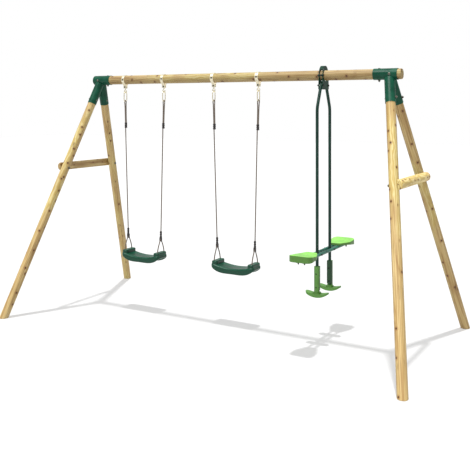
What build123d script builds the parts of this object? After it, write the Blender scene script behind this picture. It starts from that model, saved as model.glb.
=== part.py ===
"""Garden swing set: a round-timber beam on two splayed A-frames, two single swings and a two-seat glider.

X runs along the beam, +Y points to the back, +Z up. The origin is on the ground under the middle of the set.
All sizes are in millimetres. Each STEP file in parts/ is one sub-part, or one group of like fasteners.
"""

from build123d import *
import os
from math import asin, cos, degrees, pi, radians, sin, sqrt, tan

os.makedirs("parts", exist_ok=True)

# ---------------------------------------------------------------- frame
BEAM_HEIGHT = 2160.0  # beam axis above the ground
BEAM_RADIUS = 41.5
BEAM_LEFT, BEAM_RIGHT = -1523.0, 1557.0
LEG_RADIUS = 38.0
LEG_TOP_X = 1455.0  # where a pair of leg axes meets the beam axis
FOOT_X, FOOT_Y = 1836.0, 888.5  # where a leg axis meets the ground
LEG_START = 115.0  # timber starts this far down the leg axis
BRACE_HEIGHT = 1330.0
BRACE_RADIUS = 37.5
BRACE_PAST_LEG = 30.0  # the brace runs this far past each leg axis

# corner brackets
WALL = 3.0
TUBE_CENTRE_X, TUBE_LENGTH = 1428.0, 196.0
TUBE_RADIUS = BEAM_RADIUS + 1.0 + WALL
SLEEVE_RADIUS = LEG_RADIUS + 1.0 + WALL
SLEEVE_END = 250.0  # along the leg axis
SLEEVE_BOLT = 206.0
CLAMP_BOLT_X, SIDE_BOLT_X = 1372.0, 1466.0

# swing hangers
SWINGS = {"swing_1": -931.0, "swing_2": 66.0}
HANGER_SPREAD = 226.0  # each hanger from the middle of its swing
SEAT_SPREAD = 190.0  # each rope hole from the middle of the seat
STRAP_WIDTH, STRAP_THICKNESS = 30.0, 3.0
TAB_GAP = 8.0  # half the gap between the strap's two tabs
TAB_TOP, TAB_BOTTOM = 2104.0, 2078.0
TAB_BOLT_HEIGHT = 2091.0
RING_RADIUS, RING_WIRE = 13.0, 4.0
SWING_PIVOT = 2037.0  # height of the ring's bottom bow
HOOK_WIRE = 4.5
HOOK_HALF_WIDTH, HOOK_STRAIGHT = 20.5, 52.0
GATE_LENGTH = 46.0

# ropes
ROPE_RADIUS = 5.0
ADJUSTER_LOW, ADJUSTER_LOBE, LOBES = 1700.0, 17.6, 3
JUNCTION_LOW, JUNCTION_LOBE = 684.0, 20.0
ROPE_START = 712.0  # the main rope's end inside the junction
SEAT_PIVOT = 656.0  # pin that the seat rope runs over
HOLE_SPREAD = 54.0  # rope holes front and back of the seat

# swing seat
SEAT_LENGTH, SEAT_DEPTH = 430.0, 165.0
SEAT_END_TOP, SEAT_MIDDLE_TOP = 532.0, 496.0
SEAT_END_BOTTOM, SEAT_MIDDLE_BOTTOM = 499.0, 447.0
KNOT_TOP, HOLE_TOP = 506.0, 568.0  # the seat rope runs straight between these heights
SEAT_SHELL = 6.0

# glider
GLIDER_X = 898.0
PLATE_GAP, PLATE_THICKNESS = 13.7, 5.0
GLIDER_PIVOT_Y, GLIDER_PIVOT_Z = 54.0, 2078.0
TUBE_Y, TUBE_BEND_Z = 130.0, 1893.0
POST_RADIUS, POST_WALL = 12.5, 2.0
BAR_HEIGHT, BAR_RADIUS, BAR_X = 717.0, 13.0, 26.5
BAR_END = 462.0
SLOT_TRAVEL = 6.0  # the linkage's open pivot slides this far in the bars
GRIP_LOW, GRIP_TOP, GRIP_HALF_WIDTH = 412.0, 620.0, 22.5

LEFT, RIGHT = -1, 1
FRONT, BACK = -1, 1


def export(name, *pieces):
    """Write one sub-part, or one group of like pieces, to its STEP file."""
    shape = pieces[0] if len(pieces) == 1 else Compound(children=list(pieces))
    export_step(shape, f"parts/{name}.step")


def rod(start, end, radius):
    """Round bar between two points."""
    start, end = Vector(*start), Vector(*end)
    length = (end - start).length
    bar = Cylinder(radius, length, align=(Align.CENTER, Align.CENTER, Align.MIN))
    return (Plane(origin=start, z_dir=end - start) * bar).solid()


def box(low, high):
    """Block between two opposite corners."""
    size = [b - a for a, b in zip(low, high)]
    middle = [(a + b) / 2 for a, b in zip(low, high)]
    return Pos(*middle) * Box(*size)


def prism_x(outline, x_low, x_high):
    """A face drawn in Y and Z, given thickness along X."""
    return extrude(Plane(origin=(x_low, 0, 0), x_dir=(0, 1, 0), z_dir=(1, 0, 0)) * outline, x_high - x_low)


def prism_y(outline, y_low, y_high):
    """A face drawn in X and Z, given thickness along Y."""
    return extrude(Plane(origin=(0, y_high, 0), x_dir=(1, 0, 0), z_dir=(0, -1, 0)) * outline, y_high - y_low)


def polygon(points):
    return make_face(Polyline(*points, close=True))


def washer_and_head(across, head_height, washer_radius, washer_height=2.0):
    """Hexagon head on its washer, lying on the XY plane."""
    head = Pos(0, 0, washer_height) * extrude(RegularPolygon(across / 2, 6, major_radius=False), head_height)
    washer = Cylinder(washer_radius, washer_height, align=(Align.CENTER, Align.CENTER, Align.MIN))
    return head + washer


def dome(radius, height):
    """Domed head lying on the XY plane."""
    ball_radius = (radius * radius + height * height) / (2 * height)
    ball = Pos(0, 0, height - ball_radius) * Sphere(ball_radius)
    return ball & Cylinder(radius * 1.2, height, align=(Align.CENTER, Align.CENTER, Align.MIN))


def through_bolt(start, direction, grip, shank, dome_radius=11.0, across=17.0, past=5.0):
    """Domed bolt whose head sits at start, and its nut at the far side of the grip: two solids."""
    place = Plane(origin=start, z_dir=direction)
    head = Rot(180, 0, 0) * dome(dome_radius, dome_radius * 0.35)
    nut_height = shank * 1.6
    bar = Cylinder(shank, grip + 2 + nut_height + past, align=(Align.CENTER, Align.CENTER, Align.MIN))
    nut = Pos(0, 0, grip) * washer_and_head(across, nut_height, across * 0.65)
    nut -= Cylinder(shank + 0.1, 4 * grip + 400)
    return [(place * (head + bar)).solid(), (place * nut).solid()]


def bolt_hole(start, direction, length, radius):
    """Drilled hole running from a little before start."""
    direction = Vector(*direction).normalized()
    start = Vector(*start)
    return rod(start - direction * 30, start + direction * (length + 30), radius)


# ---------------------------------------------------------------- A-frames


def leg_line(side, face):
    """Top point, direction and length of a leg's axis."""
    top = Vector(side * LEG_TOP_X, 0, BEAM_HEIGHT)
    foot = Vector(side * FOOT_X, face * FOOT_Y, 0)
    return top, (foot - top).normalized(), (foot - top).length


def frame_normal(side):
    """Outward normal of the plane through both leg axes."""
    return Vector(BEAM_HEIGHT, 0, FOOT_X - LEG_TOP_X).normalized() if side == RIGHT else Vector(
        -BEAM_HEIGHT, 0, FOOT_X - LEG_TOP_X
    ).normalized()


def leg_at_height(side, face, height):
    share = (BEAM_HEIGHT - height) / BEAM_HEIGHT
    x = side * (LEG_TOP_X + share * (FOOT_X - LEG_TOP_X))
    return Vector(x, face * share * FOOT_Y, height)


SHANK = 5.0  # M10
HOLE = SHANK + 0.4


def brace_screw(side, face):
    """Where a brace screw starts on the inside of its leg, and its direction."""
    outward = frame_normal(side)
    return leg_at_height(side, face, BRACE_HEIGHT) - outward * LEG_RADIUS, outward


def sleeve_bolt(side, face):
    """Where a sleeve bolt starts on the inside of its sleeve, and its direction."""
    top, along, _ = leg_line(side, face)
    outward = frame_normal(side)
    return top + along * SLEEVE_BOLT - outward * SLEEVE_RADIUS, outward


def leg(side, face):
    top, along, length = leg_line(side, face)
    timber = rod(top + along * LEG_START, top + along * (length + 60), LEG_RADIUS)
    timber = (timber - box((-3000, -3000, -200), (3000, 3000, 0))).solid()
    timber = timber.chamfer(3, None, timber.edges().group_by(Axis.Z)[0])
    start, outward = brace_screw(side, face)
    timber -= bolt_hole(start, outward, 2 * LEG_RADIUS, HOLE)
    start, outward = sleeve_bolt(side, face)
    timber -= bolt_hole(start, outward, 2 * SLEEVE_RADIUS, HOLE)
    return timber.solid()


def brace(side):
    outward = frame_normal(side)
    half = leg_at_height(side, BACK, BRACE_HEIGHT).Y + BRACE_PAST_LEG
    middle = Vector(leg_at_height(side, BACK, BRACE_HEIGHT).X, 0, BRACE_HEIGHT)
    place = Plane(origin=middle + outward * (LEG_RADIUS + 0.1), x_dir=(0, 1, 0), z_dir=outward)
    log = Rot(0, 90, 0) * Cylinder(BRACE_RADIUS, 2 * half)
    half_log = (log & Pos(0, 0, BRACE_RADIUS) * Box(3 * half, 3 * BRACE_RADIUS, 2 * BRACE_RADIUS)).solid()
    half_log = chamfer(half_log.edges().filter_by(GeomType.CIRCLE), 2.5)
    timber = place * half_log
    for face in (FRONT, BACK):
        start, _ = brace_screw(side, face)
        timber -= rod(start, start + outward * (2 * LEG_RADIUS + 27), HOLE)
    return timber.solid()


def brace_screws():
    screws = []
    for side in (LEFT, RIGHT):
        for face in (FRONT, BACK):
            start, outward = brace_screw(side, face)
            head = Plane(origin=start, z_dir=outward * -1) * washer_and_head(17, 7, 12)
            screws.append((head + rod(start, start + outward * (2 * LEG_RADIUS + 25), SHANK)).solid())
    return screws


def bracket(side):
    """Horizontal tube for the beam with a sleeve for each leg, welded up from steel tube."""
    centre = side * TUBE_CENTRE_X
    low, high = centre - TUBE_LENGTH / 2, centre + TUBE_LENGTH / 2
    shape = rod((low, 0, BEAM_HEIGHT), (high, 0, BEAM_HEIGHT), TUBE_RADIUS)
    for face in (FRONT, BACK):
        top, along, _ = leg_line(side, face)
        shape += rod(top + along * 36, top + along * SLEEVE_END, SLEEVE_RADIUS)
    for face in (FRONT, BACK):
        top, along, _ = leg_line(side, face)
        shape -= rod(top + along * 72, top + along * (SLEEVE_END + 20), SLEEVE_RADIUS - WALL)
    shape -= rod((low - 20, 0, BEAM_HEIGHT), (high + 20, 0, BEAM_HEIGHT), TUBE_RADIUS - WALL)
    for face in (FRONT, BACK):
        start, outward = sleeve_bolt(side, face)
        shape -= bolt_hole(start, outward, 2 * SLEEVE_RADIUS, HOLE)
    shape -= bolt_hole((side * CLAMP_BOLT_X, 0, BEAM_HEIGHT + TUBE_RADIUS), (0, 0, -1), 2 * TUBE_RADIUS, HOLE)
    shape -= rod((side * SIDE_BOLT_X, -70, BEAM_HEIGHT), (side * SIDE_BOLT_X, 70, BEAM_HEIGHT), HOLE)
    return shape.solid()


def bracket_bolts():
    """Clamp bolt, side bolt and two sleeve bolts for each corner, with their nuts."""
    pieces = []
    for side in (LEFT, RIGHT):
        over = (side * CLAMP_BOLT_X, 0, BEAM_HEIGHT + TUBE_RADIUS)
        pieces += through_bolt(over, (0, 0, -1), 2 * TUBE_RADIUS, SHANK)
        front = (side * SIDE_BOLT_X, -TUBE_RADIUS, BEAM_HEIGHT)
        pieces += through_bolt(front, (0, 1, 0), 2 * TUBE_RADIUS, SHANK)
        for face in (FRONT, BACK):
            start, outward = sleeve_bolt(side, face)
            pieces += through_bolt(start, outward, 2 * SLEEVE_RADIUS, SHANK)
    return pieces


# ---------------------------------------------------------------- beam and hangers

HANGERS = [middle + side * HANGER_SPREAD for middle in SWINGS.values() for side in (LEFT, RIGHT)]
STRAP_SCREW_DEPTH = 50.0


def teardrop(grow, tab_low):
    """Outline of the strap's inside, grown outwards by a thickness."""
    radius = BEAM_RADIUS + 0.3 + grow
    half, drop = TAB_GAP + grow, BEAM_HEIGHT - TAB_TOP - grow * 0.3
    reach = sqrt(half * half + drop * drop)
    # the straight flank touches the round of the beam at this angle from straight down
    turn = asin(half / reach) + (pi / 2 - asin(radius / reach))
    touch = (radius * sin(turn), BEAM_HEIGHT - radius * cos(turn))
    flank = polygon(
        [
            (half, BEAM_HEIGHT - drop),
            touch,
            (0, BEAM_HEIGHT),
            (-touch[0], touch[1]),
            (-half, BEAM_HEIGHT - drop),
            (-half, tab_low),
            (half, tab_low),
        ]
    )
    return flank + Pos(0, BEAM_HEIGHT) * Circle(radius)


def hanger_strap(x):
    """Steel strap wrapped over the beam, its two tabs bolted together below it."""
    low, high = x - STRAP_WIDTH / 2, x + STRAP_WIDTH / 2
    strap = prism_x(teardrop(STRAP_THICKNESS, TAB_BOTTOM), low, high)
    strap -= prism_x(teardrop(0, TAB_BOTTOM - 10), low - 5, high + 5)
    strap -= rod((x, -60, BEAM_HEIGHT), (x, 0, BEAM_HEIGHT), 3.4)
    strap -= rod((x, -30, TAB_BOLT_HEIGHT), (x, 30, TAB_BOLT_HEIGHT), 4.3)
    return strap.solid()


def strap_screw(x):
    front = BEAM_RADIUS + 0.3 + STRAP_THICKNESS
    head = Plane(origin=(x, -front, BEAM_HEIGHT), z_dir=(0, -1, 0)) * dome(8, 4)
    return (head + rod((x, -front, BEAM_HEIGHT), (x, -front + STRAP_SCREW_DEPTH, BEAM_HEIGHT), 3.0)).solid()


def hanger_bolt(x):
    start = (x, -TAB_GAP - STRAP_THICKNESS, TAB_BOLT_HEIGHT)
    return through_bolt(start, (0, 1, 0), 2 * (TAB_GAP + STRAP_THICKNESS), 4.0, 8.0, 13.0, 4.0)


def hanger_ring(x):
    """Eye between the strap's tabs with the ring that the snap hook swings on."""
    eye = rod((x, -TAB_GAP + 0.4, TAB_BOLT_HEIGHT), (x, TAB_GAP - 0.4, TAB_BOLT_HEIGHT), 10.5)
    neck = rod((x, 0, TAB_BOLT_HEIGHT - 5), (x, 0, SWING_PIVOT + 2 * RING_RADIUS), 5.5)
    ring = Pos(x, 0, SWING_PIVOT + RING_RADIUS) * Rot(90, 0, 0) * Torus(RING_RADIUS, RING_WIRE)
    seat = rod((x - 6, 0, SWING_PIVOT), (x + 6, 0, SWING_PIVOT), RING_WIRE)  # where the hook bears
    shape = eye + neck + ring + seat
    shape -= rod((x, -30, TAB_BOLT_HEIGHT), (x, 30, TAB_BOLT_HEIGHT), 4.2)
    return shape.solid()


def beam():
    timber = rod((BEAM_LEFT, 0, BEAM_HEIGHT), (BEAM_RIGHT, 0, BEAM_HEIGHT), BEAM_RADIUS)
    timber = chamfer(timber.edges().filter_by(GeomType.CIRCLE), 2.5)
    for side in (LEFT, RIGHT):
        over = (side * CLAMP_BOLT_X, 0, BEAM_HEIGHT + BEAM_RADIUS)
        timber -= bolt_hole(over, (0, 0, -1), 2 * BEAM_RADIUS, HOLE)
        timber -= rod((side * SIDE_BOLT_X, -70, BEAM_HEIGHT), (side * SIDE_BOLT_X, 70, BEAM_HEIGHT), HOLE)
    for x in HANGERS:
        front = BEAM_RADIUS + 0.3 + STRAP_THICKNESS
        timber -= rod((x, -60, BEAM_HEIGHT), (x, -front + STRAP_SCREW_DEPTH + 2, BEAM_HEIGHT), 3.2)
    return timber.solid()


# ---------------------------------------------------------------- snap hooks

HOOK_TOP = SWING_PIVOT + RING_WIRE + HOOK_WIRE + 0.5  # centre of the top bow's wire
HOOK_BOTTOM = HOOK_TOP - HOOK_STRAIGHT - 2 * HOOK_HALF_WIDTH
GATE_LOW = (HOOK_TOP + HOOK_BOTTOM) / 2 - GATE_LENGTH / 2
GATE_HIGH = GATE_LOW + GATE_LENGTH
GATE_PIN = GATE_LOW + 4.5


def half_ring(x, height, radius, wire, upward):
    ring = Pos(x, 0, height) * Rot(0, 90, 0) * Torus(radius, wire)
    side = 1 if upward else -1
    return ring & Pos(x, 0, height + side * 50) * Box(60, 200, 100)


def snap_hook(x):
    """Oval spring hook in the Y-Z plane, open at the back where its gate closes it."""
    top, bottom = HOOK_TOP - HOOK_HALF_WIDTH, HOOK_BOTTOM + HOOK_HALF_WIDTH
    shape = half_ring(x, top, HOOK_HALF_WIDTH, HOOK_WIRE, True)
    shape += half_ring(x, bottom, HOOK_HALF_WIDTH, HOOK_WIRE, False)
    shape += rod((x, -HOOK_HALF_WIDTH, bottom), (x, -HOOK_HALF_WIDTH, top), HOOK_WIRE)
    back = HOOK_HALF_WIDTH
    shape += rod((x, back, bottom), (x, back, GATE_LOW - 1.9), HOOK_WIRE)
    shape += rod((x, back, GATE_HIGH + 0.8), (x, back, top), HOOK_WIRE)
    # flat tongue that the gate's fork straddles, with its rivet
    shape += box((x - 1.4, back - 3.6, GATE_LOW - 5), (x + 1.4, back + 3.6, GATE_PIN + 3.2))
    shape += rod((x - 4.2, back, GATE_PIN), (x + 4.2, back, GATE_PIN), 1.5)
    return shape.solid()


def gate(x):
    """Spring gate of a snap hook, hinged at its lower end."""
    back = HOOK_HALF_WIDTH
    shape = rod((x, back, GATE_LOW), (x, back, GATE_HIGH), HOOK_WIRE - 0.2)
    shape -= box((x - 1.8, back - 8, GATE_LOW - 1), (x + 1.8, back + 8, GATE_PIN + 6))
    shape -= rod((x - 9, back, GATE_PIN), (x + 9, back, GATE_PIN), 1.56)
    return shape.solid()


# ---------------------------------------------------------------- ropes


def rope(points, name):
    """Round rope along straight runs joined by tangent arcs, each as large as its runs allow."""
    points = [Vector(*p) for p in points]
    radii = []
    for before, here, after in zip(points, points[1:], points[2:]):
        turn = (here - before).get_angle(after - here)
        shorter = min((here - before).length, (after - here).length)
        radii.append(0.45 * shorter / tan(radians(turn) / 2))
    path = FilletPolyline(*points, radius=radii)
    section = Plane(origin=path @ 0, z_dir=path % 0) * Circle(ROPE_RADIUS)
    tube = sweep(section, path=path).solid()
    share = tube.volume / (pi * ROPE_RADIUS**2 * path.length)
    print(name, "radii", [round(r) for r in radii], "length", round(path.length), "volume share", round(share, 4))
    return tube


def round_corners(centre, radius, start, stop, count):
    """Corners of the polygon drawn round an arc, as pairs (sideways, up); the angles are in degrees."""
    step = (stop - start) / count
    out = radius / cos(radians(step / 2))
    corners = []
    for k in range(count):
        angle = radians(start + (k + 0.5) * step)
        corners.append((centre[0] + out * cos(angle), centre[1] + out * sin(angle)))
    return corners


STRAND = 5.15  # each strand from the middle of the doubled rope
LOOP = HOOK_WIRE + ROPE_RADIUS + 0.6  # the rope's bend round the hook
ADJUSTER_TOP = ADJUSTER_LOW + LOBES * ADJUSTER_LOBE
TAIL_END = ADJUSTER_LOW + 10.0


def rope_x(middle, side, height):
    """The rope leans in towards the seat: its X at a height."""
    share = (HOOK_BOTTOM - height) / (HOOK_BOTTOM - SEAT_PIVOT)
    return middle + side * (HANGER_SPREAD - share * (HANGER_SPREAD - SEAT_SPREAD))


def main_rope_route(middle, side):
    """From the junction up through the adjuster, over the hook and back down into the adjuster."""
    bow = (rope_x(middle, side, HOOK_BOTTOM), HOOK_BOTTOM)
    adjuster = rope_x(middle, side, ADJUSTER_LOW)
    doubled = rope_x(middle, side, HOOK_BOTTOM - 45)
    corners = round_corners(bow, LOOP, 180, 0, 4)
    points = [
        (rope_x(middle, side, ROPE_START), ROPE_START),
        (adjuster - STRAND, ADJUSTER_LOW - 4),
        (doubled - STRAND, HOOK_BOTTOM - 45),
        *corners,
        (doubled + STRAND, HOOK_BOTTOM - 45),
        (adjuster + STRAND, TAIL_END),
    ]
    return [(x, 0, z) for x, z in points]


def seat_rope_route(middle, side):
    """From the front knot up over the junction's pin and down to the back knot."""
    x = middle + side * SEAT_SPREAD
    # the rope leaves the pin at this angle from straight down
    drop, out = SEAT_PIVOT - HOLE_TOP, HOLE_SPREAD
    reach = sqrt(drop * drop + out * out)
    lean = degrees(asin(out / reach) - asin(LOOP / reach))
    corners = round_corners((0, SEAT_PIVOT), LOOP, 180 - lean, lean, 3)
    points = [
        (-HOLE_SPREAD, KNOT_TOP),
        (-HOLE_SPREAD, HOLE_TOP),
        *corners,
        (HOLE_SPREAD, HOLE_TOP),
        (HOLE_SPREAD, KNOT_TOP),
    ]
    return [(x, y, z) for y, z in points]


def lobed(x, low, lobe, half_width, half_depth, count):
    """Stack of rounded lobes, as moulded rope adjusters have."""
    shape = None
    for k in range(count):
        outline = SlotOverall(2 * half_width, 2 * half_depth)
        part = Pos(x, 0, low + k * lobe) * extrude(outline, lobe * 0.94)
        part = fillet(part.edges().filter_by(Plane.XY), lobe * 0.3)
        shape = part if shape is None else shape + part
    core = Pos(x, 0, low + 1) * extrude(SlotOverall(2 * half_width - 5, 2 * half_depth - 5), count * lobe - 2)
    return shape + core


def adjuster(middle, side):
    """Three-lobed clamp that the doubled rope runs through."""
    x = rope_x(middle, side, ADJUSTER_LOW + 25)
    shape = lobed(x, ADJUSTER_LOW, ADJUSTER_LOBE, 13.4, 8.6, LOBES)
    points = main_rope_route(middle, side)
    low, high = Vector(*points[1]), Vector(*points[2])
    shape -= rod(low + (low - high).normalized() * 30, high, ROPE_RADIUS + 0.5)
    shape -= rod(points[-1], points[-2], ROPE_RADIUS + 0.35)
    return shape.solid()


def junction(middle, side):
    """Three-lobed clamp on the main rope's end, with a fork and pin that the seat rope runs over."""
    x = rope_x(middle, side, JUNCTION_LOW + 25)
    shape = lobed(x, JUNCTION_LOW, JUNCTION_LOBE, 10.6, 10.4, LOBES)
    x = middle + side * SEAT_SPREAD
    fork = box((x - 9.4, -9.5, SEAT_PIVOT - 8), (x + 9.4, 9.5, JUNCTION_LOW + 3))
    fork = fillet(fork.edges().filter_by(Axis.X), 4)
    shape += fork
    shape -= box((x - 6.2, -30, SEAT_PIVOT - 30), (x + 6.2, 30, SEAT_PIVOT + LOOP + ROPE_RADIUS + 1.5))
    shape += rod((x - 9.4, 0, SEAT_PIVOT), (x + 9.4, 0, SEAT_PIVOT), HOOK_WIRE)
    points = main_rope_route(middle, side)
    shape -= rod(points[0], points[1], ROPE_RADIUS + 0.35)
    return shape.solid()


# ---------------------------------------------------------------- swing seat

BOLSTER_TOP = SEAT_END_TOP + 15
BOLSTER, BOLSTER_X = (56.0, 150.0), 180.0


def seat_side(lower):
    """Side view of the seat: an arched top and a flatter belly that sweeps up at both ends."""
    half = SEAT_LENGTH / 2
    top = ThreePointArc((-half, SEAT_END_TOP - lower), (0, SEAT_MIDDLE_TOP - lower), (half, SEAT_END_TOP - lower))
    if lower:
        floor = Polyline(top @ 1, (half, 400), (-half, 400), top @ 0)
        return make_face(Wire([top.edge(), *floor.edges()]))
    shoulder = SEAT_MIDDLE_BOTTOM + 11
    belly = Spline(
        (half, SEAT_END_BOTTOM), (150, shoulder), (0, SEAT_MIDDLE_BOTTOM), (-150, shoulder), (-half, SEAT_END_BOTTOM)
    )
    ends = [Line(top @ 1, belly @ 0), Line(belly @ 1, top @ 0)]
    return make_face(Wire([top.edge(), ends[0].edge(), belly.edge(), ends[1].edge()]))


def swing_seat(middle):
    """Moulded seat, dished along its length, with rolled edges and a bolster at each end for the rope holes."""
    depth = SEAT_DEPTH / 2
    outer = prism_y(seat_side(0), -depth, depth) & extrude(RectangleRounded(SEAT_LENGTH, SEAT_DEPTH, 34), 900)
    outer = outer.solid()
    outer = outer.fillet(10, outer.faces().sort_by(Axis.Z)[0].edges())
    outer = outer.fillet(15, outer.faces().sort_by(Axis.Z)[-1].edges())
    hollow = prism_y(seat_side(SEAT_SHELL), -depth, depth)
    hollow &= extrude(RectangleRounded(SEAT_LENGTH - 22, SEAT_DEPTH - 28, 16), 900)
    seat = outer - hollow
    bolster = extrude(RectangleRounded(*BOLSTER, 20), BOLSTER_TOP - KNOT_TOP - 2).solid()
    bolster = bolster.fillet(9, bolster.faces().sort_by(Axis.Z)[-1].edges())
    for side in (LEFT, RIGHT):
        seat += Pos(side * BOLSTER_X, 0, KNOT_TOP + 2) * bolster
        # shallow dish in the end of the seat
        low, high = sorted((side * (SEAT_LENGTH / 2 - 4), side * (SEAT_LENGTH / 2 + 20)))
        seat -= prism_x(Pos(0, 513.5) * SlotOverall(112, 11), low, high)
    for side in (LEFT, RIGHT):
        for face in (FRONT, BACK):
            seat -= Pos(side * SEAT_SPREAD, face * HOLE_SPREAD, 500) * Cylinder(ROPE_RADIUS + 0.6, 400)
    return (Pos(middle, 0, 0) * seat).solid()


def knots(middle):
    """Stopper knots on the rope's ends, under the seat."""
    places = [(middle + s * SEAT_SPREAD, f * HOLE_SPREAD, KNOT_TOP) for s in (LEFT, RIGHT) for f in (FRONT, BACK)]
    knot = Pos(0, 0, -9) * (Sphere(11) & Box(40, 40, 18))
    return [(Pos(*place) * knot).solid() for place in places]


# ---------------------------------------------------------------- glider


def bracket_outline():
    """Side plate of the glider's bracket: an arch over the beam with a block under it."""
    arch = Pos(0, BEAM_HEIGHT) * Ellipse(57, 79.5)
    ears = [Pos(f * 53, BEAM_HEIGHT) * Circle(13) for f in (FRONT, BACK)]
    block = polygon([(-57, BEAM_HEIGHT), (57, BEAM_HEIGHT), (62, 2118), (67, 2046), (-67, 2046), (-62, 2118)])
    block = fillet(block.vertices().group_by(Axis.Y)[0], 7)
    return arch + ears[0] + ears[1] + block - Pos(0, BEAM_HEIGHT) * Circle(BEAM_RADIUS + 3.5)


def glider_bracket():
    """Two side plates welded to an arched top strap and a saddle under the beam."""
    inner, outer = PLATE_GAP, PLATE_GAP + PLATE_THICKNESS
    outline = bracket_outline()
    shape = None
    for side in (LEFT, RIGHT):
        low, high = sorted((GLIDER_X + side * inner, GLIDER_X + side * outer))
        plate = prism_x(outline, low, high)
        for face in (FRONT, BACK):
            plate -= rod((low - 5, face * 53, BEAM_HEIGHT), (high + 5, face * 53, BEAM_HEIGHT), 4.4)
            pivot = (face * GLIDER_PIVOT_Y, GLIDER_PIVOT_Z)
            plate -= rod((low - 5, *pivot), (high + 5, *pivot), 4.3)
        shape = plate if shape is None else shape + plate
    cap = Pos(0, BEAM_HEIGHT) * (Ellipse(57, 79.5) - Ellipse(51, 73.5))
    cap &= Pos(0, BEAM_HEIGHT + 85) * Rectangle(84, 80)
    shape += prism_x(cap, GLIDER_X - inner - 1, GLIDER_X + inner + 1)
    shape += box((GLIDER_X - inner - 1, -40, 2106), (GLIDER_X + inner + 1, 40, 2111))
    return shape.solid()


def glider_clamp_bolts():
    start = GLIDER_X + PLATE_GAP + PLATE_THICKNESS
    grip = 2 * (PLATE_GAP + PLATE_THICKNESS)
    pieces = []
    for face in (FRONT, BACK):
        pieces += hex_bolt((start, face * 53, BEAM_HEIGHT), (-1, 0, 0), grip, 4.0)
    return pieces


def hex_bolt(start, direction, grip, shank, across=None):
    """Hexagon bolt and nut, each on a washer: two solids."""
    across = across or shank * 3.25
    place = Plane(origin=start, z_dir=direction)
    head = Rot(180, 0, 0) * washer_and_head(across, shank * 1.3, across * 0.62)
    bar = Cylinder(shank, grip + 2 + shank * 1.6 + 4, align=(Align.CENTER, Align.CENTER, Align.MIN))
    nut = Pos(0, 0, grip) * washer_and_head(across, shank * 1.6, across * 0.62)
    nut -= Cylinder(shank + 0.1, 4 * grip + 400)
    return [(place * (head + bar)).solid(), (place * nut).solid()]


def clamp_spacers():
    """Distance tubes between the side plates, round the two clamp bolts."""
    low, high = GLIDER_X - PLATE_GAP, GLIDER_X + PLATE_GAP
    pieces = []
    for face in (FRONT, BACK):
        tube = rod((low, face * 53, BEAM_HEIGHT), (high, face * 53, BEAM_HEIGHT), 7.0)
        pieces.append((tube - rod((low - 5, face * 53, BEAM_HEIGHT), (high + 5, face * 53, BEAM_HEIGHT), 4.3)).solid())
    return pieces


def glider_pivot_bolts():
    start = GLIDER_X + PLATE_GAP + PLATE_THICKNESS
    grip = 2 * (PLATE_GAP + PLATE_THICKNESS)
    pieces = []
    for face in (FRONT, BACK):
        pieces += hex_bolt((start, face * GLIDER_PIVOT_Y, GLIDER_PIVOT_Z), (-1, 0, 0), grip, 4.0)
    return pieces


BUSH_RADIUS = 6.0


def glider_pivot_bushes():
    """Nylon bushes on the pivot bolts, which the uprights turn on."""
    low, high = GLIDER_X - PLATE_GAP + 0.2, GLIDER_X + PLATE_GAP - 0.2
    pieces = []
    for face in (FRONT, BACK):
        pivot = (face * GLIDER_PIVOT_Y, GLIDER_PIVOT_Z)
        pieces.append((rod((low, *pivot), (high, *pivot), BUSH_RADIUS) - rod((low - 5, *pivot), (high + 5, *pivot), 4.1)).solid())
    return pieces


def upright(face):
    """Steel tube from the bracket, bent to run straight down to its footrest."""
    slope = Vector(0, face * (GLIDER_PIVOT_Y - TUBE_Y), GLIDER_PIVOT_Z - TUBE_BEND_Z).normalized()
    pivot = Vector(GLIDER_X, face * GLIDER_PIVOT_Y, GLIDER_PIVOT_Z)
    points = [pivot + slope * 15, (GLIDER_X, face * TUBE_Y, TUBE_BEND_Z), (GLIDER_X, face * TUBE_Y, GRIP_LOW + 8)]
    path = FilletPolyline(*points, radius=160)
    section = Plane(origin=path @ 0, z_dir=path % 0)
    tube = sweep(section * Circle(POST_RADIUS), path=path).solid()
    bore = sweep(section * Circle(POST_RADIUS - POST_WALL), path=path).solid()
    plug = rod(pivot + slope * 15, pivot - slope * 14, POST_RADIUS - POST_WALL)
    tube = tube - bore + plug
    tube -= rod(pivot - Vector(30, 0, 0), pivot + Vector(30, 0, 0), BUSH_RADIUS + 0.06)
    cross = (face * TUBE_Y, BAR_HEIGHT)
    tube -= rod((GLIDER_X - 30, *cross), (GLIDER_X + 30, *cross), 4.06)
    for height in GRIP_BOLTS:
        tube -= rod((GLIDER_X, face * TUBE_Y - 30, height), (GLIDER_X, face * TUBE_Y + 30, height), 3.3)
    return tube.solid()


def seat_bars():
    """Two round tubes, one each side of the uprights, with plugged ends."""
    pieces = []
    for side in (LEFT, RIGHT):
        x = GLIDER_X + side * BAR_X
        tube = rod((x, -BAR_END, BAR_HEIGHT), (x, BAR_END, BAR_HEIGHT), BAR_RADIUS)
        tube -= rod((x, -BAR_END + 12, BAR_HEIGHT), (x, BAR_END - 12, BAR_HEIGHT), BAR_RADIUS - 2)
        tube = chamfer(tube.edges().filter_by(GeomType.CIRCLE).filter_by(lambda e: e.radius > BAR_RADIUS - 1), 1)
        tube -= rod((x - 30, -TUBE_Y, BAR_HEIGHT), (x + 30, -TUBE_Y, BAR_HEIGHT), 4.3)
        # the back pivot runs in a slot, because the uprights don't stay quite parallel
        slot = SlotCenterToCenter(SLOT_TRAVEL + 0.3, 8.8)
        slot = Pos(TUBE_Y - SLOT_TRAVEL / 2, BAR_HEIGHT) * slot
        tube -= prism_x(slot, x - 30, x + 30)
        for face in (FRONT, BACK):
            tube -= rod((x, face * SEAT_BOLT_Y, BAR_HEIGHT - 30), (x, face * SEAT_BOLT_Y, BAR_HEIGHT + 30), 4.3)
        pieces.append(tube.solid())
    return pieces


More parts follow.
